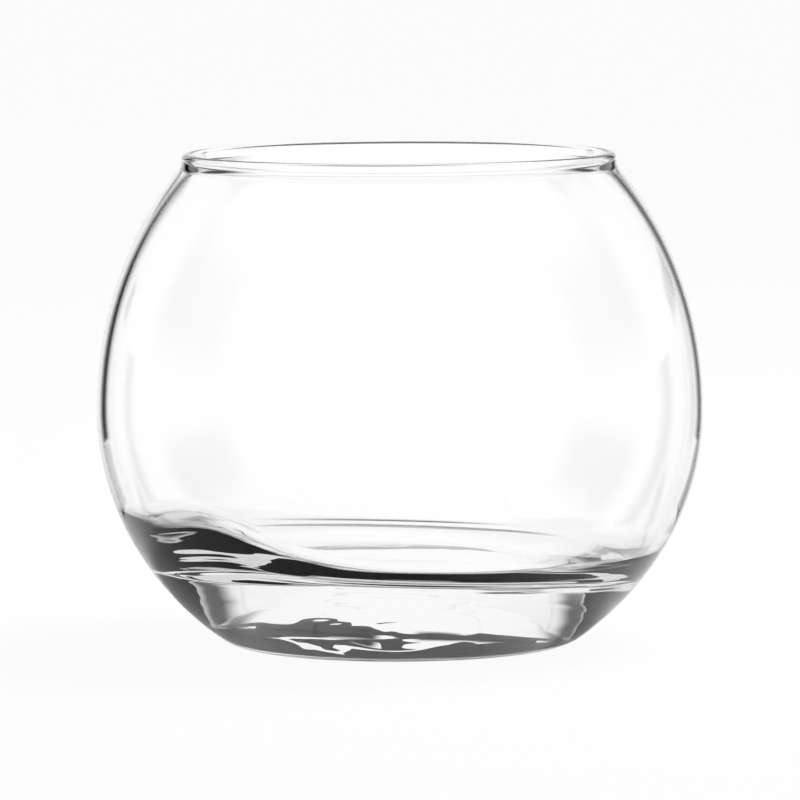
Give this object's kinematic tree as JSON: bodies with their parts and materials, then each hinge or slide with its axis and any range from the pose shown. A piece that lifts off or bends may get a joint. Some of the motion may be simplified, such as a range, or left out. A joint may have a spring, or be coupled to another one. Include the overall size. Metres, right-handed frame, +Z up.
{
  "type": "ball vase",
  "caption": "Clear glass ball vase: a round thin-walled bowl with a heavy solid base and a wide mouth with an upright fire-polished lip, for flowers, floating candles or fill.",
  "frame": {"origin": "on the axis of the bowl, in the plane of the ring that it stands on", "axes": "+Z up along the axis of the bowl; X and Y are alike, and the picture looks along +Y"},
  "size_m": [0.15, 0.15, 0.1218],
  "materials": {
    "clear_glass": "clear colourless soda-lime glass, machine blown and fire polished, smooth gloss all over"
  },
  "bodies": {
    "root": {"glass_bowl": "clear_glass"}
  },
  "joints": []
}
